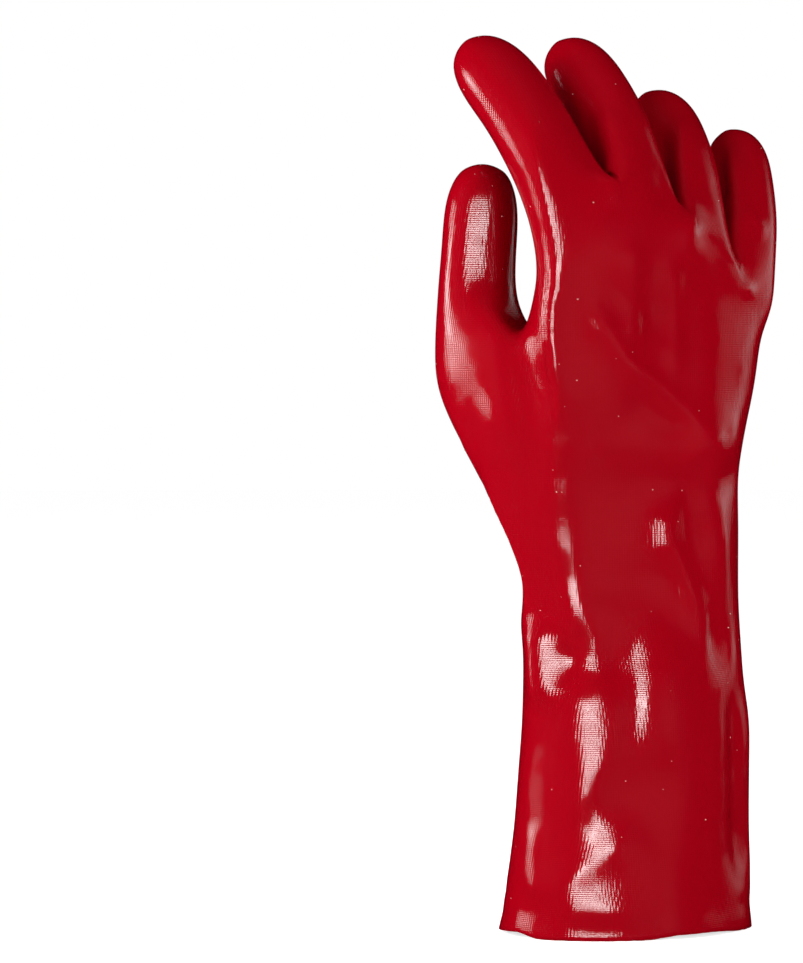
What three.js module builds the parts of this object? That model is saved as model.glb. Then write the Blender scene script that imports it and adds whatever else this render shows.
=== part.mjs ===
// A right-hand chemical gauntlet: PVC dipped over a knitted liner, one bonded wall, standing on its open cuff.
// The back of the hand faces -Y, the palm +Y, the thumb side -X and the little finger +X. The fingers point up.
import * as THREE from "three";

// Driving dimensions, in millimetres and degrees.
const wall = 1.3;
const palmWidth = 108;
const palmDepth = 50;
const palmShift = 11.5;
const wristHeight = 126;
const thenarHeight = 110;
const heelHeight = 172;
const crotchHeight = 228;
const knuckleHeight = 262;
const fingerLength = 84;
const fingerWidth = 29.5;
const fingerDepth = 27.5;
const webBlend = 30;
const thumbLength = 70;
const thumbWidth = 30.5;
const thumbLean = 4;
const thumbOut = 41.5;
const thumbReach = 41;
const sideCrease = 1.1;

// Counts of points round each ring. The back and the palm have four steps a finger.
const FINGER_STEPS = 4;
const SIDE_STEPS = 4;
const THUMB_STEPS = 12;
const BACK_STEPS = 4 * FINGER_STEPS;
const RING = 2 * BACK_STEPS + SIDE_STEPS + THUMB_STEPS;
const TUBE_RING = 16;

// Counts of rows up the form, and of the passes that smooth it.
const CUFF_ROWS = 18;
const HEEL_ROWS = 12;
const PALM_ROWS = 5;
const FINGER_ROWS = 8;
const THUMB_ROWS = 7;
const EASE_PASSES = 12;

// Turns round the hand, in degrees, between which the back and the palm lie where the thumb leaves the hand.
const FULL_TURN = 360;
const RING_START = 225;
const THUMB_START = -45;
const THUMB_ROOT = { backStart: 172, backEnd: 345, palmStart: 15, palmEnd: 118 };

// web: where the finger ends towards the little finger, and rise: how high that web stands.
// Both are shares of the palm's width. long, wide and deep are shares of the middle finger's sizes.
// lean is the tilt towards the little finger, bend the forward tilt at the knuckle, curl what is added up to the tip.
const FINGERS = [
  { web: 0.27, rise: 0.2, long: 1.03, wide: 1.17, deep: 1.06, lean: -9, bend: 20, curl: 27 },
  { web: 0.515, rise: 0.1, long: 0.94, wide: 1.01, deep: 1.02, lean: 3, bend: 20, curl: 36 },
  { web: 0.76, rise: -0.1, long: 0.88, wide: 1, deep: 1, lean: 12, bend: 16, curl: 38 },
  { web: 1, rise: -0.17, long: 0.84, wide: 0.9, deep: 0.94, lean: 18.5, bend: 12, curl: 32 },
];
const THUMB_SIDE_RISE = -0.07;
const TIP_TAPER = 0.1;
const ROOT_WAIST = 0.3;
const KNUCKLE = { shift: 1.16, wide: 1.03, deep: 0.68, back: 0.06, crease: 0.85 };

// The cuff's sections from the rim to the wrist. up is a share of the wrist's height.
// shift and wide are shares of the palm's width, deep of its depth.
const CUFF = [
  { up: 0, shift: 0.01, wide: 0.99, deep: 1.62 },
  { up: 0.15, shift: 0.02, wide: 0.95, deep: 1.52 },
  { up: 0.32, shift: 0.032, wide: 0.915, deep: 1.45 },
  { up: 0.63, shift: 0.046, wide: 0.885, deep: 1.38 },
  { up: 1, shift: 0.034, wide: 0.86, deep: 1.26 },
];

const rad = THREE.MathUtils.degToRad;
const mix = THREE.MathUtils.lerp;
const ease = (t) => THREE.MathUtils.smoothstep(t, 0, 1);
const point = (x, y, z) => new THREE.Vector3(x, y, z);
const range = (n) => Array.from({ length: n }, (_, i) => i);
const mixRings = (a, b, t) => a.map((p, i) => p.clone().lerp(b[i], typeof t === "function" ? t(i) : t));

// A point of an oval section. Its turn runs from the little finger's side (0) over the palm (90) to the thumb (180).
function oval(cx, cy, width, depth, turn, z, crease = 1) {
  const s = Math.sin(rad(turn));
  return point(cx + (width / 2) * Math.cos(rad(turn)), cy + (depth / 2) * Math.sign(s) * Math.abs(s) ** crease, z);
}

// The cuff flares to its rim, most of it near the rim.
function cuffRing(z) {
  const up = Math.min(z / wristHeight, 1);
  const next = Math.max(1, CUFF.findIndex((row) => row.up >= up));
  const t = (up - CUFF[next - 1].up) / (CUFF[next].up - CUFF[next - 1].up);
  const at = (name) => mix(CUFF[next - 1][name], CUFF[next][name], t);
  return range(RING).map((i) => {
    const turn = RING_START + (FULL_TURN / RING) * i;
    return oval(palmWidth * at("shift"), 0, palmWidth * at("wide"), palmDepth * at("deep"), turn, z, sideCrease);
  });
}

// The turns of the palm's ring: the back, the little finger's side, the palm and the thumb's side.
function palmTurns({ backStart, backEnd, palmStart, palmEnd }) {
  const back = range(BACK_STEPS + 1).map((i) => mix(backStart, backEnd, i / BACK_STEPS));
  const side = range(SIDE_STEPS - 1).map((i) => mix(backEnd, palmStart + FULL_TURN, (i + 1) / SIDE_STEPS));
  const palm = range(BACK_STEPS + 1).map((i) => mix(palmStart, palmEnd, i / BACK_STEPS));
  const thumbSide = range(SIDE_STEPS - 1).map((i) => mix(palmEnd, backStart, (i + 1) / SIDE_STEPS));
  return [...back, ...side, ...palm, ...thumbSide];
}

// The palm where the thumb leaves it.
const thumbTurns = palmTurns(THUMB_ROOT);
const webDip = 6;
const footHeight = crotchHeight - webDip;
const CROTCH = { shift: 0.8, wide: 0.97, deep: 1.04 };
const crotchPalm = thumbTurns.map((turn) =>
  oval(palmShift * CROTCH.shift, 0, palmWidth * CROTCH.wide, palmDepth * CROTCH.deep, turn, footHeight),
);
const THUMB_WEB = 2 * BACK_STEPS + SIDE_STEPS + 1;

// The thumb's own section at the crotch, from its palm corner round the outside to its back corner.
const thumbFoot = point(-thumbOut, thumbReach, footHeight);
const thumbSection = range(TUBE_RING).map((i) => {
  const turn = THUMB_START + (FULL_TURN / TUBE_RING) * i;
  return oval(thumbFoot.x, thumbFoot.y, thumbWidth, thumbWidth, turn, thumbFoot.z);
});

// The ring at the crotch: the palm's back and palm, and the thumb's outside drawn in to meet them.
const palmCorner = crotchPalm[THUMB_WEB - 1];
const backCorner = crotchPalm[0];
const drawIn = (i) => Math.max(0, 1 - i / 4) ** 2;
const thumbOutside = range(THUMB_STEPS - 1).map((k) => {
  const i = k + 1;
  return thumbSection[i]
    .clone()
    .addScaledVector(palmCorner.clone().sub(thumbSection[0]), drawIn(i))
    .addScaledVector(backCorner.clone().sub(thumbSection[THUMB_STEPS]), drawIn(THUMB_STEPS - i));
});
const crotchRing = [...crotchPalm.slice(0, THUMB_WEB), ...thumbOutside];

// The mesh of the outside, as shared vertices and quads facing out.
const vertices = [];
const quads = [];
const add = (ring) => ring.map((p) => vertices.push(p) - 1);
function skirt(lower, upper) {
  lower.forEach((v, i) => {
    const n = (i + 1) % lower.length;
    quads.push([v, lower[n], upper[n], upper[i]]);
  });
}
function stack(rings) {
  rings.slice(1).forEach((ring, i) => skirt(rings[i], ring));
}

const cuffRings = range(CUFF_ROWS + 1).map((i) => add(cuffRing((wristHeight * i) / CUFF_ROWS)));

// From the wrist the thumb's side swells first, and the little finger's side only from the heel of the hand.
const heelRings = range(HEEL_ROWS).map((k) => {
  const z = mix(wristHeight, footHeight, (k + 1) / HEEL_ROWS);
  const wristRing = cuffRing(wristHeight);
  const late = (i) => (1 + Math.cos(rad(RING_START + (FULL_TURN / RING) * i))) / 2;
  const swell = (i) => {
    const start = mix(thenarHeight, heelHeight, late(i));
    return ease(Math.max(0, (z - start) / (footHeight - start)));
  };
  const ring = mixRings(wristRing, crotchRing, swell);
  ring.forEach((p) => (p.z = z));
  return add(ring);
});
stack([...cuffRings, ...heelRings]);

// The thumb's web is a saddle between the palm and the thumb.
const crotch = heelRings[heelRings.length - 1];
const web = add(
  range(SIDE_STEPS - 1).map((k) => {
    const t = (k + 1) / SIDE_STEPS;
    const p = palmCorner.clone().lerp(backCorner, t);
    const out = point(-0.55, 0.83, 0).multiplyScalar(7 * Math.sin(Math.PI * t));
    p.add(out);
    p.z = footHeight + webDip * Math.sin(Math.PI * t);
    return p;
  }),
);
const palmBase = [...crotch.slice(0, THUMB_WEB), ...web];

// The knuckles: the turn and the height at which each column reaches the foot of the fingers.
const shareTurn = (share) => THREE.MathUtils.radToDeg(Math.acos(1 - 2 * share));
function knuckle(i) {
  const finger = Math.min(Math.floor(i / FINGER_STEPS), 3);
  const t = (i - finger * FINGER_STEPS) / FINGER_STEPS;
  const left = finger ? shareTurn(FINGERS[finger - 1].web) : 25;
  const right = finger < 3 ? shareTurn(FINGERS[finger].web) : 155;
  const riseLeft = finger ? FINGERS[finger - 1].rise : THUMB_SIDE_RISE;
  return { turn: mix(left, right, t), rise: mix(riseLeft, FINGERS[finger].rise, t) };
}
const backKnuckles = range(BACK_STEPS + 1).map(knuckle);
const knuckleRing = [
  ...backKnuckles.map((k) => ({ turn: 0.5 * FULL_TURN + k.turn, rise: k.rise })),
  ...[-19, 0, 19].map((side) => ({ turn: FULL_TURN + side, rise: FINGERS[3].rise })),
  ...[...backKnuckles].reverse().map((k) => ({ turn: 1.5 * FULL_TURN - k.turn, rise: k.rise })),
  ...[-19, 0, 19].map((side) => ({ turn: 1.5 * FULL_TURN + side, rise: THUMB_SIDE_RISE })),
];
const palmStart = palmBase.map((v) => vertices[v]);
const startTurns = thumbTurns.map((turn, i) => (i > BACK_STEPS + SIDE_STEPS - 1 ? turn + FULL_TURN : turn));
const palmRings = range(PALM_ROWS).map((k) => {
  const t = (k + 1) / PALM_ROWS;
  return add(
    knuckleRing.map((goal, i) => {
      const turn = mix(startTurns[i], goal.turn, t);
      const z = mix(palmStart[i].z, knuckleHeight + palmWidth * goal.rise, t);
      const at = (name, start) => mix(start, KNUCKLE[name], t);
      const cx = palmShift * at("shift", CROTCH.shift);
      const cy = -palmDepth * at("back", 0);
      const width = palmWidth * at("wide", CROTCH.wide);
      const on = oval(cx, cy, width, palmDepth * at("deep", CROTCH.deep), turn, z, at("crease", 1));
      return i >= THUMB_WEB ? palmStart[i].clone().lerp(on, ease(Math.min(1, t * 1.4))).setZ(z) : on;
    }),
  );
});
stack([palmBase, ...palmRings]);

// A finger or thumb: a tube that starts as its base ring and takes its own section over the blend's length.
function stall(base, centre, lean, bend, curl, length, width, depth, firstTurn, rows) {
  const start = base.map((v) => vertices[v].clone());
  const tipRadius = width * 0.45;
  const straight = length - tipRadius;
  const frames = [];
  const steps = 60;
  const at = centre.clone();
  for (let i = 0; i <= steps; i++) {
    const share = i / steps;
    const tilt = rad(bend + curl * share);
    const side = rad(lean);
    const along = point(Math.sin(side), Math.cos(side) * Math.sin(tilt), Math.cos(side) * Math.cos(tilt));
    const back = point(0, -Math.cos(tilt), Math.sin(tilt));
    const across = along.clone().cross(back).normalize();
    frames.push({ at: at.clone(), along, back: across.clone().cross(along).normalize(), across });
    at.addScaledVector(along, straight / steps);
  }
  const ringAt = (share, size, push) => {
    const f = frames[Math.round(share * steps)];
    const taper = size * (1 - TIP_TAPER * share) * (1 - ROOT_WAIST * Math.max(0, 1 - share / 0.4) ** 2);
    return range(TUBE_RING).map((i) => {
      const turn = rad(firstTurn + (FULL_TURN / TUBE_RING) * i);
      return f.at
        .clone()
        .addScaledVector(f.across, (width / 2) * taper * Math.cos(turn))
        .addScaledVector(f.back, (-depth / 2) * taper * Math.sin(turn))
        .addScaledVector(f.along, push);
    });
  };
  const rings = [base];
  for (let k = 1; k <= rows; k++) {
    const share = k / rows;
    const own = ringAt(share, 1, 0);
    const f = frames[Math.round(share * steps)];
    const shift = f.at.clone().sub(centre);
    const t = Math.min((share * straight) / webBlend, 1);
    const taken = 1 - (1 - t) ** 2.4;
    rings.push(add(own.map((p, i) => start[i].clone().add(shift).lerp(p, taken))));
  }
  for (const latitude of [32, 58]) {
    rings.push(add(ringAt(1, Math.cos(rad(latitude)), tipRadius * Math.sin(rad(latitude)))));
  }
  stack(rings);
  const inner = ringAt(1, Math.cos(rad(76)), tipRadius * Math.sin(rad(76)));
  cap(rings[rings.length - 1], inner, ringAt(1, 0, tipRadius)[0]);
}

// The tip is closed by a grid of four by four quads.
function cap(rim, inner, apex) {
  const eight = add(range(8).map((i) => inner[2 * i]));
  const [top] = add([apex]);
  const grid = [
    [rim[0], rim[1], rim[2], rim[3], rim[4]],
    [rim[15], eight[0], eight[1], eight[2], rim[5]],
    [rim[14], eight[7], top, eight[3], rim[6]],
    [rim[13], eight[6], eight[5], eight[4], rim[7]],
    [rim[12], rim[11], rim[10], rim[9], rim[8]],
  ];
  for (let r = 0; r < 4; r++)
    for (let c = 0; c < 4; c++) quads.push([grid[r][c], grid[r][c + 1], grid[r + 1][c + 1], grid[r + 1][c]]);
}

// The webs between the fingers, three points each from the back to the palm.
const knuckles = palmRings[PALM_ROWS - 1];
const backAt = (i) => knuckles[i];
const palmAt = (i) => knuckles[2 * BACK_STEPS + SIDE_STEPS - i];
const webs = [0, 1, 2, 3, 4].map((j) => {
  if (j === 0) return knuckles.slice(-3).reverse();
  if (j === 4) return knuckles.slice(BACK_STEPS + 1, BACK_STEPS + SIDE_STEPS);
  const back = vertices[backAt(FINGER_STEPS * j)];
  const palm = vertices[palmAt(FINGER_STEPS * j)];
  return add(
    [1, 2, 3].map((k) => {
      const p = back.clone().lerp(palm, k / SIDE_STEPS);
      p.z += 2 * Math.sin((Math.PI * k) / SIDE_STEPS);
      return p;
    }),
  );
});
FINGERS.forEach((f, j) => {
  const a = FINGER_STEPS * j;
  const b = a + FINGER_STEPS;
  const base = [
    ...range(FINGER_STEPS + 1).map((i) => backAt(a + i)),
    ...webs[j + 1],
    ...range(FINGER_STEPS + 1).map((i) => palmAt(b - i)),
    ...[...webs[j]].reverse(),
  ];
  const centre = base.reduce((sum, v) => sum.add(vertices[v]), point(0, 0, 0)).divideScalar(TUBE_RING);
  const length = fingerLength * f.long;
  const [width, depth] = [fingerWidth * f.wide, fingerDepth * f.deep];
  stall(base, centre, f.lean, f.bend, f.curl, length, width, depth, RING_START, FINGER_ROWS);
});

// The thumb.
{
  const base = [...crotch.slice(THUMB_WEB - 1), crotch[0], ...[...web].reverse()];
  stall(base, thumbFoot, thumbLean, 0, 0, thumbLength, thumbWidth, thumbWidth, THUMB_START, THUMB_ROWS);
}

// The moulded form is smooth, so every point but the rim's is eased towards its neighbours and back again.
const neighbours = vertices.map(() => new Set());
for (const q of quads) {
  q.forEach((v, i) => {
    neighbours[v].add(q[(i + 1) % 4]);
    neighbours[v].add(q[(i + 3) % 4]);
  });
}
for (const amount of range(EASE_PASSES).flatMap(() => [0.5, -0.52])) {
  const moves = vertices.map((p, v) => {
    const middle = point(0, 0, 0);
    neighbours[v].forEach((other) => middle.add(vertices[other]));
    return middle.divideScalar(neighbours[v].size).sub(p).multiplyScalar(amount);
  });
  vertices.forEach((p, v) => v >= RING && p.add(moves[v]));
}

// Each fold is a ridge or, with a negative height, a crease along a line over the hand and the cuff.
// The line's ends are a turn and a share of the knuckles' height. wide and high are shares of the palm's depth.
const FOLDS = [
  { from: [316, 0.71], to: [268, 0.67], wide: 0.22, high: 0.06 },
  { from: [318, 0.66], to: [280, 0.62], wide: 0.22, high: -0.07 },
  { from: [258, 0.6], to: [286, 0.45], wide: 0.21, high: 0.06 },
  { from: [276, 0.58], to: [300, 0.43], wide: 0.25, high: -0.09 },
  { from: [318, 0.31], to: [317, 0.12], wide: 0.22, high: -0.06 },
  { from: [334, 0.3], to: [332, 0.1], wide: 0.21, high: 0.04 },
  { from: [243, 0.95], to: [248, 0.78], wide: 0.21, high: 0.04 },
  { from: [256, 0.97], to: [259, 0.78], wide: 0.21, high: -0.05 },
  { from: [268, 0.95], to: [270, 0.79], wide: 0.21, high: 0.04 },
  { from: [226, 0.86], to: [275, 0.74], wide: 0.22, high: -0.04 },
  { from: [222, 0.5], to: [226, 0.2], wide: 0.21, high: -0.05 },
  { from: [250, 0.42], to: [247, 0.16], wide: 0.21, high: -0.04 },
  { from: [186, 0.5], to: [196, 0.4], wide: 0.21, high: -0.06 },
  { from: [84, 0.9], to: [92, 0.8], wide: 0.5, high: -0.13 },
  { from: [40, 0.72], to: [112, 0.62], wide: 0.21, high: -0.1 },
  { from: [30, 0.56], to: [140, 0.5], wide: 0.21, high: -0.08 },
  { from: [60, 0.5], to: [150, 0.46], wide: 0.21, high: 0.05 },
];
const foldRadius = palmWidth * 0.43;
function foldHeight(p) {
  const bearing = THREE.MathUtils.radToDeg(Math.atan2(p.y, p.x - palmShift * 0.5));
  const turn = THREE.MathUtils.euclideanModulo(bearing, FULL_TURN);
  const here = new THREE.Vector2(rad(turn) * foldRadius, p.z);
  return FOLDS.reduce((sum, fold) => {
    const place = ([bearingThere, up]) => new THREE.Vector2(rad(bearingThere) * foldRadius, up * knuckleHeight);
    const [a, b] = [place(fold.from), place(fold.to)];
    const line = b.clone().sub(a);
    const t = THREE.MathUtils.clamp(here.clone().sub(a).dot(line) / line.lengthSq(), 0, 1);
    const away = here.distanceTo(a.addScaledVector(line, t)) / (fold.wide * palmDepth);
    return sum + fold.high * palmDepth * Math.exp(-away * away);
  }, 0);
}
function pointNormals() {
  const normals = vertices.map(() => point(0, 0, 0));
  for (const q of quads) {
    const [a, b, c, d] = q.map((v) => vertices[v]);
    const n = c.clone().sub(a).cross(d.clone().sub(b));
    q.forEach((v) => normals[v].add(n));
  }
  return normals.map((n) => n.normalize());
}
const handNormals = pointNormals();
const handPoints = palmRings[PALM_ROWS - 2][0];
vertices.forEach((p, v) => {
  if (v >= RING && v < handPoints) p.addScaledVector(handNormals[v], foldHeight(p));
});

// The wall: the outside, an inside set back by its thickness, and the flat cut rim that the glove stands on.
// The origin is the middle of the bounding box's base.
function wallGeometry() {
  const normals = pointNormals();
  cuffRings[0].forEach((v) => normals[v].setZ(0).normalize());
  const inside = vertices.map((p, v) => p.clone().addScaledVector(normals[v], -wall));
  const all = [...vertices, ...inside];
  const n = vertices.length;
  const faces = [];
  const apart = (a, b) => all[a].distanceTo(all[b]);
  const quad = (a, b, c, d) =>
    apart(a % n, c % n) < apart(b % n, d % n) ? faces.push(a, b, c, a, c, d) : faces.push(a, b, d, b, c, d);
  for (const [a, b, c, d] of quads) {
    quad(a, b, c, d);
    quad(n + d, n + c, n + b, n + a);
  }
  cuffRings[0].forEach((v, i) => {
    const next = cuffRings[0][(i + 1) % RING];
    quad(next, v, n + v, n + next);
  });
  const geometry = new THREE.BufferGeometry();
  geometry.setAttribute("position", new THREE.Float32BufferAttribute(all.flatMap((p) => [p.x, p.y, p.z]), 3));
  geometry.setIndex(faces);
  geometry.computeBoundingBox();
  const middle = geometry.boundingBox.getCenter(point(0, 0, 0));
  geometry.translate(-middle.x, -middle.y, 0);
  geometry.computeVertexNormals();
  return geometry;
}

const glossyPvc = new THREE.MeshStandardMaterial({ color: 0xc00418, roughness: 0.25, metalness: 0 });
const glove = new THREE.Mesh(wallGeometry(), glossyPvc);
glove.name = "glove_shell";

const part = new THREE.Group();
part.add(glove);
export default part;
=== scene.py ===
import math
import random

import bmesh
import bpy
import numpy as np
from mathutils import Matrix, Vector, noise


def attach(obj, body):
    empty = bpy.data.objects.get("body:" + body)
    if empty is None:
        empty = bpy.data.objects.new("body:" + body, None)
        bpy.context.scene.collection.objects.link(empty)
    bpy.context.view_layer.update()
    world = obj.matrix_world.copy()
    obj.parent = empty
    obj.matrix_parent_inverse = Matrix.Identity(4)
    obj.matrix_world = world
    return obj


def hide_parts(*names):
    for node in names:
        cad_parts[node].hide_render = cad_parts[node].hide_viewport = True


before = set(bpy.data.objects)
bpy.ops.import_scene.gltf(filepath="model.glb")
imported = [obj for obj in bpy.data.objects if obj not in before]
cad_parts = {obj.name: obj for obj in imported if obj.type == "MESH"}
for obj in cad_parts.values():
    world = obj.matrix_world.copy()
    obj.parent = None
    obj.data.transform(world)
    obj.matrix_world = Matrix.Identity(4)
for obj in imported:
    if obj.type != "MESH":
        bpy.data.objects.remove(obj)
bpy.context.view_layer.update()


# The camera. The glove stands upright on its cuff and is seen from the thumb's side of the back of the
# hand, from just above the surface, through a long lens as in a catalogue picture.
MM = 0.001
NO_GAP = 0.01 * MM
PIXELS_HIGH = 963
MM_PER_PIXEL = 0.382
FRAME_HEIGHT = PIXELS_HIGH * MM_PER_PIXEL * MM
VIEW_TURN = math.radians(-35)
VIEW_RISE = math.radians(1.5)
CAMERA_DISTANCE = 1.9
SENSOR = 36
FRAME_CENTRE_FROM_CUFF = (-86 * MM, 171 * MM)

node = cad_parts["glove_shell"]
rim_points = np.array([v.co for v in node.data.vertices if v.co.z < NO_GAP])
cuff_centre = Vector((rim_points.min(axis=0) + rim_points.max(axis=0)) / 2)


def toward(turn, rise):
    """The direction from the glove at a turn from the back of the hand and a rise, both in radians."""
    return Vector((math.sin(turn) * math.cos(rise), -math.cos(turn) * math.cos(rise), math.sin(rise)))


toward_camera = toward(VIEW_TURN, VIEW_RISE)
view_right = Vector((math.cos(VIEW_TURN), math.sin(VIEW_TURN), 0))
camera = bpy.data.objects.new("camera", bpy.data.cameras.new("camera"))
camera.data.sensor_width = SENSOR
camera.data.lens = SENSOR * CAMERA_DISTANCE / FRAME_HEIGHT
camera.location = (
    cuff_centre
    + view_right * FRAME_CENTRE_FROM_CUFF[0]
    + Vector((0, 0, FRAME_CENTRE_FROM_CUFF[1]))
    + toward_camera * CAMERA_DISTANCE
)
camera.rotation_mode = "QUATERNION"
camera.rotation_quaternion = (-toward_camera).to_track_quat("-Z", "Y")
bpy.context.collection.objects.link(camera)
bpy.context.scene.camera = camera


# The glove: a knitted liner is pulled over a hand-shaped former and dipped in PVC, which fuses to it. The
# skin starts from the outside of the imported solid. Its triangles are joined back into quads and refined, so
# that the dip comes out as smooth as the former.
QUAD_ANGLE = math.radians(60)
EVEN_PASSES = 4
EASE, EASE_BACK = 0.5, -0.52
RIM_HELD = 0.5 * MM
FIT_PASSES = 4
FIT_SHARE = 0.8
REFINE = 2

skin = bmesh.new()
skin.from_mesh(node.data)
skin.transform(node.matrix_world)
bmesh.ops.remove_doubles(skin, verts=skin.verts, dist=NO_GAP)
rim_faces = [f for f in skin.faces if f.calc_center_median().z < NO_GAP]
bmesh.ops.delete(skin, geom=rim_faces, context="FACES")


def island(start):
    """All the vertices that edges join to this one."""
    found, waiting = {start}, [start]
    while waiting:
        for edge in waiting.pop().link_edges:
            for vert in edge.verts:
                if vert not in found:
                    found.add(vert)
                    waiting.append(vert)
    return found


outside = island(max(skin.verts, key=lambda v: v.co.x))
bmesh.ops.delete(skin, geom=[v for v in skin.verts if v not in outside], context="VERTS")
bmesh.ops.join_triangles(
    skin, faces=skin.faces, angle_face_threshold=QUAD_ANGLE, angle_shape_threshold=QUAD_ANGLE,
)
form = bpy.data.meshes.new("glove")
skin.to_mesh(form)
skin.free()
glove = bpy.data.objects.new("glove", form)
bpy.context.collection.objects.link(glove)


def get_points(mesh):
    """The mesh's points as rows of an array."""
    points = np.empty(3 * len(mesh.vertices))
    mesh.vertices.foreach_get("co", points)
    return points.reshape(-1, 3)


def set_points(mesh, points):
    """Move the mesh's points to the rows of an array."""
    mesh.vertices.foreach_set("co", points.ravel())
    mesh.update()


def evened(mesh, passes):
    """The mesh's points, eased towards their neighbours and back again. The rim's points stay in place."""
    points = get_points(mesh)
    ends = np.array([edge.vertices[:] for edge in mesh.edges])
    count = np.bincount(ends.ravel(), minlength=len(points))[:, None]
    held = points[:, 2] < RIM_HELD
    for amount in (EASE, EASE_BACK) * passes:
        total = np.zeros_like(points)
        np.add.at(total, ends[:, 0], points[ends[:, 1]])
        np.add.at(total, ends[:, 1], points[ends[:, 0]])
        moved = points + amount * (total / count - points)
        points = np.where(held[:, None], points, moved)
    return points


# The refined surface is brought back to the solid's evened points: each control point moves by most of
# what it misses, a few times over.
refine = glove.modifiers.new("refine", "SUBSURF")
refine.levels = refine.render_levels = REFINE
refine.boundary_smooth = "PRESERVE_CORNERS"
goal = evened(form, EVEN_PASSES)
set_points(form, goal)


def refined():
    """The glove's mesh as its modifiers make it."""
    bpy.context.view_layer.update()
    return bpy.data.meshes.new_from_object(glove.evaluated_get(bpy.context.evaluated_depsgraph_get()))


for _ in range(FIT_PASSES):
    trial = refined()
    missed = goal - get_points(trial)[: len(goal)]
    set_points(form, get_points(form) + FIT_SHARE * missed)
    bpy.data.meshes.remove(trial)
fine = refined()
glove.modifiers.clear()
glove.data = fine


# The back of the hand. The slack PVC over the knuckles lies in two flats that meet in an edge. A row of
# EDGE is a height, how far right of the cuff's middle the edge is in the picture's plane, and how far it
# stands out of the former's oval. These and the flats' ends are in millimetres.
EDGE = [
    (76, -10, 0), (104, -15, -5.6), (128, -22, -3.1), (150, -26, -0.9), (162, -27, 0.7), (185, -28, 3.1),
    (203, -28, 3.6), (226, -31, 3.4), (275, -29, 3),
]
EDGE_ROUND = 4
FLAT_BOTTOM = 76
FLAT_LEFT, FLAT_LEFT_TOP = -54, 214
FLAT_RIGHT, FLAT_RIGHT_TOP = 36, 258
FADE_UP, FADE_DOWN = 62, 24
FADE_ASIDE = 0.3
FLATNESS = 0.8
FACING = 0.1
ROW_STEP, STRIP = 6, 4


def in_view(points):
    """Each point as millimetres right of the cuff's middle, up from the rim and towards the camera."""
    level = np.array((toward_camera.x, toward_camera.y, 0)) / math.cos(VIEW_RISE)
    from_cuff = (points - np.array(cuff_centre)) / MM
    return from_cuff @ np.array(view_right), points[:, 2] / MM, from_cuff @ level


def eased(share):
    """A share held between 0 and 1, with a soft start and a soft end."""
    share = np.clip(share, 0, 1)
    return share * share * (3 - 2 * share)


def flattened(points, normals):
    """The points with the back of the hand drawn to its two flats."""
    right, up, near = in_view(points)
    facing = normals @ np.array(toward_camera) > FACING
    heights, places, prouds = zip(*EDGE)
    edge = np.interp(up, heights, places)

    def depth_at(place):
        """How near the surface is at this distance to the right, for every point's own height."""
        rows = np.arange(FLAT_BOTTOM, heights[-1] + ROW_STEP, ROW_STEP)
        depths = []
        for row in rows:
            close = facing & (abs(up - row) < ROW_STEP) & (abs(right - place(row)) < STRIP)
            depths.append(near[close].mean() if close.any() else np.nan)
        depths = np.array(depths)
        known = ~np.isnan(depths)
        return np.interp(up, rows[known], depths[known])

    crest = depth_at(lambda row: np.interp(row, heights, places)) + np.interp(up, heights, prouds)
    left_side = right < edge
    end = np.where(left_side, FLAT_LEFT, FLAT_RIGHT)
    top = np.where(left_side, FLAT_LEFT_TOP, FLAT_RIGHT_TOP)
    foot = np.where(left_side, depth_at(lambda row: FLAT_LEFT), depth_at(lambda row: FLAT_RIGHT))
    share = np.clip((np.hypot(right - edge, EDGE_ROUND) - EDGE_ROUND) / abs(end - edge), 0, 1)
    rise = eased(np.minimum((up - FLAT_BOTTOM) / FADE_UP, (top - up) / FADE_DOWN))
    weight = FLATNESS * rise * eased((1 - share) / FADE_ASIDE) * facing
    move = weight * (crest + share * (foot - crest) - near)
    return points + move[:, None] * np.array((toward_camera.x, toward_camera.y, 0)) * MM


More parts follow.
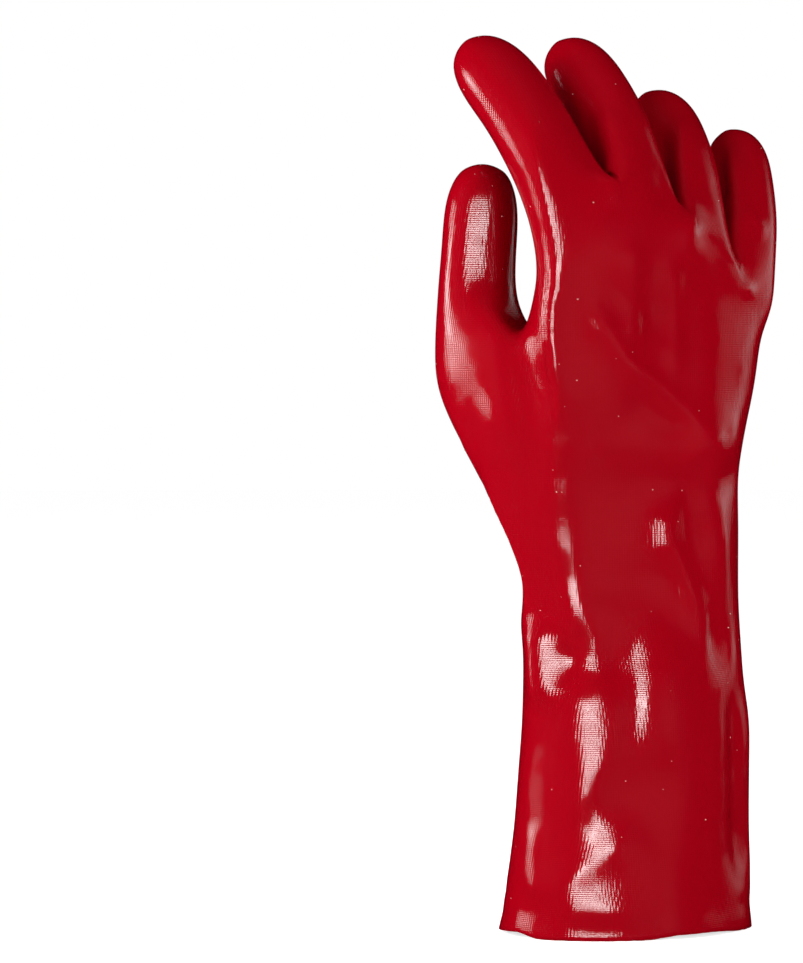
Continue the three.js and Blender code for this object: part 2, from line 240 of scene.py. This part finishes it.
# The folds that the glove keeps from its packing, on the side towards the camera. Each follows a line in the
# picture's plane, right of the cuff's middle and up from the rim, and fades at its ends. It falls off over
# its width on either side, and its softness rounds the crest. All of these are in millimetres.
FOLDS = [
    # The edge between the thumb's side and the back of the hand, from the index finger to the wrist.
    {
        "line": [
            (-40, 322), (-37, 308), (-33, 283), (-28, 260), (-27, 245), (-31, 235), (-32, 218), (-28, 196),
        ],
        "high": 1.8, "wide": 6, "soft": 0.8,
    },
    # The slack over the knuckles, and the tendons' ridges beside it.
    {
        "line": [(-20, 250), (-10, 229), (-2, 217), (11, 206), (26, 193), (38, 187)],
        "high": 3.7, "wide": 8, "soft": 1,
    },
    {"line": [(-2, 208), (11, 197), (22, 188)], "high": -2, "wide": 6, "soft": 3},
    {"line": [(0.8, 266), (0.8, 217)], "high": 2.3, "wide": 5, "soft": 1.4},
    {"line": [(16, 260), (17, 206)], "high": 2.4, "wide": 5, "soft": 1.4},
    # The creases at the wrist.
    {"line": [(38, 191), (30, 185), (23, 181), (19, 173)], "high": 1.8, "wide": 5, "soft": 1},
    {
        "line": [(25, 168), (18, 162), (14, 156), (15, 148), (20, 138), (24, 126), (27, 110)],
        "high": 3, "wide": 6, "soft": 0.8,
    },
    {"line": [(33, 180), (34, 140), (36, 80)], "high": 1.4, "wide": 7, "soft": 4},
    # The fingers' soft ridges, with hollows beside them, and the creases at the root of the little finger.
    {"line": [(-10, 318), (-5, 297), (-5, 285), (-4, 274)], "high": 3.4, "wide": 6, "soft": 1.2},
    {"line": [(-18, 318), (-13, 302), (-10, 284)], "high": -2, "wide": 5, "soft": 2},
    {"line": [(26, 316), (21, 304), (21, 292), (22, 276), (23, 252)], "high": 4.4, "wide": 5, "soft": 0.8},
    {"line": [(15, 310), (15, 292), (17, 268)], "high": -2.6, "wide": 5, "soft": 2},
    {"line": [(41, 304), (43, 290), (44, 276), (42, 248)], "high": 3.8, "wide": 4, "soft": 0.8},
    {"line": [(37, 304), (38, 290), (39, 276)], "high": -2, "wide": 3, "soft": 1.5},
    {"line": [(45, 275), (50, 271), (55, 264)], "high": 1.4, "wide": 2.5, "soft": 0.8},
    {"line": [(40, 260), (43, 247), (51, 242)], "high": 1.6, "wide": 3, "soft": 0.8},
    {"line": [(6, 262), (8, 240), (7, 222)], "high": -1.2, "wide": 5, "soft": 3},
    # The flat of the thumb, and the swelling over its root.
    {"line": [(-56, 296), (-56, 222)], "high": -2.3, "wide": 6, "soft": 5},
    {"line": [(-85, 204), (-64, 204), (-50, 206), (-34, 208)], "high": 5, "wide": 42, "soft": 16},
    # The cuff's flutes.
    {"line": [(-36, 122), (-35, 104), (-36, 82)], "high": 3, "wide": 5, "soft": 2.5},
    {"line": [(-36, 44), (-37, 28), (-36, 10)], "high": 1.2, "wide": 5, "soft": 2.5},
    {"line": [(-34, 11), (-12, 12), (12, 10)], "high": 1.3, "wide": 8, "soft": 3},
    {"line": [(-30, 108), (-13, 102), (4, 105)], "high": -1.8, "wide": 9, "soft": 5},
    {"line": [(0, 124), (3, 96), (-1, 66)], "high": -1.5, "wide": 5, "soft": 2},
    {"line": [(-4, 100), (-6, 75), (-16, 55), (-22, 36)], "high": 1.3, "wide": 7, "soft": 3},
    {"line": [(10, 126), (14, 104), (14, 84), (14, 58)], "high": 1.6, "wide": 7, "soft": 5},
    {"line": [(8, 42), (-10, 32), (-24, 21), (-42, 14)], "high": 1.7, "wide": 7, "soft": 4},
    {"line": [(40, 100), (44, 70), (43, 40)], "high": 1.2, "wide": 4, "soft": 1},
]
FOLD_TAPER = 0.3
FOLD_TURNED, FOLD_FADE = 0.7, 1.5
FOLD_DROP = 0.2


def fold_heights(points, normals):
    """How far each point moves out for the folds."""
    right, up, _ = in_view(points)
    facing = np.clip((normals @ np.array(toward_camera)) / FOLD_TURNED, 0, 1) ** FOLD_FADE
    moved = np.zeros(len(points))
    for fold in FOLDS:
        line = np.array(fold["line"], dtype=float)
        lengths = np.linalg.norm(np.diff(line, axis=0), axis=1)
        total = lengths.sum()
        nearest = np.full(len(points), np.inf)
        along = np.zeros(len(points))
        for i, (a, b) in enumerate(zip(line[:-1], line[1:])):
            dx, dz = (b - a) / lengths[i]
            passed = np.clip((right - a[0]) * dx + (up - a[1]) * dz, 0, lengths[i])
            away = np.hypot(right - a[0] - passed * dx, up - a[1] - passed * dz)
            closer = away < nearest
            nearest = np.where(closer, away, nearest)
            along = np.where(closer, passed + lengths[:i].sum(), along)
        taper = eased(np.minimum(along, total - along) / (FOLD_TAPER * total))
        fall = (np.hypot(nearest, fold["soft"]) - fold["soft"]) / fold["wide"]
        moved += fold["high"] * taper * np.exp(-fall - FOLD_DROP * fall**2)
    return moved * facing * MM


# The dip is not quite even. The cuff has soft flutes, which die out at the wrist, and its mouth is
# crinkled. Both are waves, with sizes in millimetres.
WAVES = [
    {"high": 1.0, "around": 26, "along": 60, "top": 130, "shift": 0},
    {"high": 0.45, "around": 24, "along": 6, "top": 26, "shift": 9},
]


def waves(point):
    """How far a point moves out for the flutes and the crinkles."""
    x, y, z = point / MM
    moved = 0
    for wave in WAVES:
        place = Vector((x / wave["around"], y / wave["around"], z / wave["along"] + wave["shift"]))
        moved += wave["high"] * max(0, 1 - z / wave["top"]) * noise.noise(place)
    return moved * MM


# The mouth was cut by hand, and the cut is a little ragged. It lifts off the floor at the thumb's corner
# and on the little finger's side of the back.
LIFT_HEIGHT = 16
LIFT_ROUND = 0.4
LIFTS = [{"right": -50, "wide": 12, "high": 2.4}, {"right": 26, "wide": 15, "high": 1.4}]
RAGGED, RAGGED_LENGTH = 0.35, 5


def rim_lift(points, normals):
    """How far the points near the rim move up for the lifts and the ragged cut."""
    right = in_view(points)[0]
    low = np.clip(1 - points[:, 2] / (LIFT_HEIGHT * MM), 0, 1) ** 2
    facing = np.clip(normals @ np.array(toward_camera) + LIFT_ROUND, 0, 1)
    lifted = sum(lift["high"] * np.exp(-(((right - lift["right"]) / lift["wide"]) ** 4)) for lift in LIFTS)
    ragged = np.array([noise.noise(Vector(p) / (RAGGED_LENGTH * MM)) for p in points])
    return low * (lifted * facing + RAGGED * np.abs(ragged)) * MM


def get_normals(mesh):
    """The mesh's normals at its points as rows of an array."""
    normals = np.empty(3 * len(mesh.vertices))
    mesh.vertices.foreach_get("normal", normals)
    return normals.reshape(-1, 3)


set_points(fine, flattened(get_points(fine), get_normals(fine)))
points, normals = get_points(fine), get_normals(fine)
moves = fold_heights(points, normals) + np.array([waves(Vector(p)) for p in points])
lifts = rim_lift(points, normals)
points = points + normals * moves[:, None]
points[:, 2] = np.maximum(points[:, 2] + lifts, 0)
set_points(fine, points)


# The wall: the dip and the liner are 1.3 mm together, cut off square at the rim. The outside has the glove's
# first material, the inside the next and the cut edge the one after.
WALL = 1.3 * MM
INSIDE, CUT = 1, 2

wall = glove.modifiers.new("wall", "SOLIDIFY")
wall.thickness = WALL
wall.offset = -1
wall.use_even_offset = True
wall.material_offset = INSIDE
wall.material_offset_rim = CUT
for face in fine.polygons:
    face.use_smooth = True


# The coat: plasticised PVC, dipped and fused, a saturated red as glossy as lacquer. The ribs and stitches of
# the knitted liner print through it, and more in patches where the dip is thin.
def linear(hex_colour):
    """An sRGB hex colour as the linear RGBA that a shader takes."""
    parts = [int(hex_colour[i : i + 2], 16) / 255 for i in (1, 3, 5)]
    return [p / 12.92 if p <= 0.04045 else ((p + 0.055) / 1.055) ** 2.4 for p in parts] + [1]


def add_node(tree, kind, settings, links):
    """A node of this kind. A setting goes to the attribute or socket it names, and links feed sockets."""
    made = tree.nodes.new(kind)
    for name, value in settings.items():
        if isinstance(name, str) and hasattr(made, name):
            setattr(made, name, value)
        else:
            made.inputs[name].default_value = value
    for name, source in links.items():
        tree.links.new(source, made.inputs[name])
    return made


RIB = 0.95 * MM
STITCH = 0.7 * MM
STITCH_SHARE = 0.7
PRINT_DEPTH = 0.02 * MM
THIN_PATCH = 14 * MM
PRINT_LEAST = 0.35


def knit_height(tree):
    """The knit's height: ribs counted along X, or along Y on the sides, and the stitches that cross them."""
    place = add_node(tree, "ShaderNodeTexCoord", {}, {}).outputs["Object"]
    split = add_node(tree, "ShaderNodeSeparateXYZ", {}, {"Vector": place})
    normal = add_node(tree, "ShaderNodeNewGeometry", {}, {}).outputs["Normal"]
    along_x = add_node(tree, "ShaderNodeSeparateXYZ", {}, {"Vector": normal}).outputs["X"]
    waves_along = {}
    for axis, length in (("X", RIB), ("Y", RIB), ("Z", STITCH)):
        turns = {"operation": "MULTIPLY", 1: math.tau / length}
        angle = add_node(tree, "ShaderNodeMath", turns, {0: split.outputs[axis]}).outputs[0]
        waves_along[axis] = add_node(tree, "ShaderNodeMath", {"operation": "SINE"}, {0: angle}).outputs[0]
    sideways = add_node(tree, "ShaderNodeMath", {"operation": "ABSOLUTE"}, {0: along_x}).outputs[0]
    rib_links = {"Factor": sideways, "A": waves_along["X"], "B": waves_along["Y"]}
    rib = add_node(tree, "ShaderNodeMix", {"data_type": "FLOAT"}, rib_links).outputs["Result"]
    together = {"operation": "MULTIPLY_ADD", 1: STITCH_SHARE}
    return add_node(tree, "ShaderNodeMath", together, {0: waves_along["Z"], 2: rib}).outputs[0]


coat = bpy.data.materials.new("dipped_pvc")
coat.use_nodes = True
tree = coat.node_tree
shader = tree.nodes["Principled BSDF"]
shader.inputs["Base Color"].default_value = linear("#940010")
shader.inputs["Roughness"].default_value = 0.1
shader.inputs["IOR"].default_value = 1.53
knit = knit_height(tree)
place = add_node(tree, "ShaderNodeTexCoord", {}, {}).outputs["Object"]
patches = add_node(tree, "ShaderNodeTexNoise", {"Scale": 1 / THIN_PATCH, "Detail": 3}, {"Vector": place})
spread = {"From Min": 0.35, "From Max": 0.65, "To Min": PRINT_LEAST, "To Max": 1.0}
print_through = add_node(tree, "ShaderNodeMapRange", spread, {"Value": patches.outputs["Fac"]})
relief_links = {"Height": knit, "Strength": print_through.outputs["Result"]}
relief = add_node(tree, "ShaderNodeBump", {"Distance": PRINT_DEPTH}, relief_links)
tree.links.new(relief.outputs["Normal"], shader.inputs["Normal"])

# The liner: knitted cotton, the inside of the glove. It is matt, and stained by the dip that has soaked
# into it.
KNIT_DEPTH = 0.25 * MM

liner = bpy.data.materials.new("knitted_cotton_liner")
liner.use_nodes = True
tree = liner.node_tree
shader = tree.nodes["Principled BSDF"]
shader.inputs["Base Color"].default_value = linear("#B98C84")
shader.inputs["Roughness"].default_value = 0.95
shader.inputs["Specular IOR Level"].default_value = 0.2
knit = knit_height(tree)
relief = add_node(tree, "ShaderNodeBump", {"Distance": KNIT_DEPTH, "Strength": 0.8}, {"Height": knit})
tree.links.new(relief.outputs["Normal"], shader.inputs["Normal"])

# The cut edge: the dip and the knit in section, left as the shears cut it and so duller than the coat.
cut_edge = bpy.data.materials.new("cut_pvc_and_knit")
cut_edge.use_nodes = True
shader = cut_edge.node_tree.nodes["Principled BSDF"]
shader.inputs["Base Color"].default_value = linear("#7E2428")
shader.inputs["Roughness"].default_value = 0.7

glove.data.materials.clear()
for material in (coat, liner, cut_edge):
    glove.data.materials.append(material)
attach(glove, "root")
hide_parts("glove_shell")


# Lint: specks of cotton fluff, a third of them longer than wide. Nothing but static charge holds them on
# the coat. The largest are 0.56 mm wide.
LINT = 160
SPECK, SMALLEST = 0.28 * MM, 0.4
LONGER, FLATTER = 1.6, 0.8

random.seed(7)
specks = bmesh.new()
for _ in range(LINT):
    index = random.randrange(len(points))
    size = SPECK * random.uniform(SMALLEST, 1)
    made = bmesh.ops.create_icosphere(specks, subdivisions=1, radius=size)["verts"]
    stretch = random.choice((1, 1, LONGER))
    for vert in made:
        vert.co = Vector((vert.co.x * stretch, vert.co.y, vert.co.z * FLATTER)) + Vector(points[index])
lint_mesh = bpy.data.meshes.new("lint")
specks.to_mesh(lint_mesh)
specks.free()
fluff = bpy.data.materials.new("cotton_fluff")
fluff.use_nodes = True
shader = fluff.node_tree.nodes["Principled BSDF"]
shader.inputs["Base Color"].default_value = linear("#E8C8B8")
shader.inputs["Roughness"].default_value = 0.9
lint_mesh.materials.append(fluff)
lint = bpy.data.objects.new("lint", lint_mesh)
bpy.context.collection.objects.link(lint)
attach(lint, "root")


# The floor: a round sheet of matt white paper that the glove stands on, so wide that its edge melts into
# the background. It glows a little for the camera alone, as an overexposed ground does.
FLOOR_RADIUS = 6
FLOOR_SIDES = 96
FLOOR_GLOW = 0.7

paper = bpy.data.materials.new("white_paper")
paper.use_nodes = True
tree = paper.node_tree
shader = tree.nodes["Principled BSDF"]
shader.inputs["Base Color"].default_value = linear("#FAFAFA")
shader.inputs["Roughness"].default_value = 1
shader.inputs["Specular IOR Level"].default_value = 0
shader.inputs["Emission Color"].default_value = linear("#FFFFFF")
for_camera = add_node(tree, "ShaderNodeLightPath", {}, {}).outputs["Is Camera Ray"]
glow = add_node(tree, "ShaderNodeMath", {"operation": "MULTIPLY", 1: FLOOR_GLOW}, {0: for_camera})
tree.links.new(glow.outputs[0], shader.inputs["Emission Strength"])
disc = bpy.data.meshes.new("floor")
angles = [math.tau * i / FLOOR_SIDES for i in range(FLOOR_SIDES)]
ring = [(FLOOR_RADIUS * math.cos(angle), FLOOR_RADIUS * math.sin(angle), 0) for angle in angles]
disc.from_pydata(ring, [], [range(FLOOR_SIDES)])
disc.materials.append(paper)
floor = bpy.data.objects.new("floor", disc)
bpy.context.collection.objects.link(floor)
floor.visible_glossy = False


# The lamps. The gloss mirrors four soft boxes: a window beside the camera, a strip at the left, and a faint
# panel and strip behind on the right. Three more light the colour alone. A lamp's turn from the camera and
# its rise are in degrees, and its distance and size in metres.
AIM = Vector((0, 0, 0.17))
ROOM_LIGHT = 0.3


def soft_box(name, turn, rise, distance, size, radiance):
    """A rectangular lamp that looks at the middle of the glove."""
    lamp = bpy.data.objects.new(name, bpy.data.lights.new(name, "AREA"))
    lamp.data.shape = "RECTANGLE"
    lamp.data.size, lamp.data.size_y = size
    lamp.data.energy = radiance * math.pi * size[0] * size[1]
    away = toward(VIEW_TURN + math.radians(turn), math.radians(rise))
    lamp.location = AIM + away * distance
    lamp.rotation_mode = "QUATERNION"
    lamp.rotation_quaternion = (-away).to_track_quat("-Z", "Y")
    bpy.context.collection.objects.link(lamp)
    return lamp


soft_box("window", -6, 11, 1.5, (0.84, 0.34), 18).visible_diffuse = False
soft_box("left_strip", -92, 12, 1.4, (0.45, 0.34), 11)
soft_box("right_panel", 112, 10, 1.5, (0.75, 0.32), 0.6)
soft_box("right_strip", 125, 12, 1.4, (0.3, 0.8), 0.6)
soft_box("left_bounce", -68, 22, 1.6, (1.2, 1.2), 5.8).visible_glossy = False
soft_box("front_bounce", 40, 2, 1.6, (1.0, 0.8), 7).visible_glossy = False
soft_box("top", 0, 80, 1.8, (1.6, 1.6), 0.9).visible_glossy = False

# The room: white behind the glove for the camera, dim for the colour, and not mirrored in the gloss.
room = bpy.data.worlds.new("room")
bpy.context.scene.world = room
room.cycles_visibility.glossy = False
room.use_nodes = True
tree = room.node_tree
background = tree.nodes["Background"]
background.inputs["Color"].default_value = linear("#FFFFFF")
for_camera = add_node(tree, "ShaderNodeLightPath", {}, {}).outputs["Is Camera Ray"]
bright = add_node(tree, "ShaderNodeMapRange", {"To Min": ROOM_LIGHT, "To Max": 1.0}, {"Value": for_camera})
tree.links.new(bright.outputs["Result"], background.inputs["Strength"])
bpy.context.scene.view_settings.view_transform = "Standard"
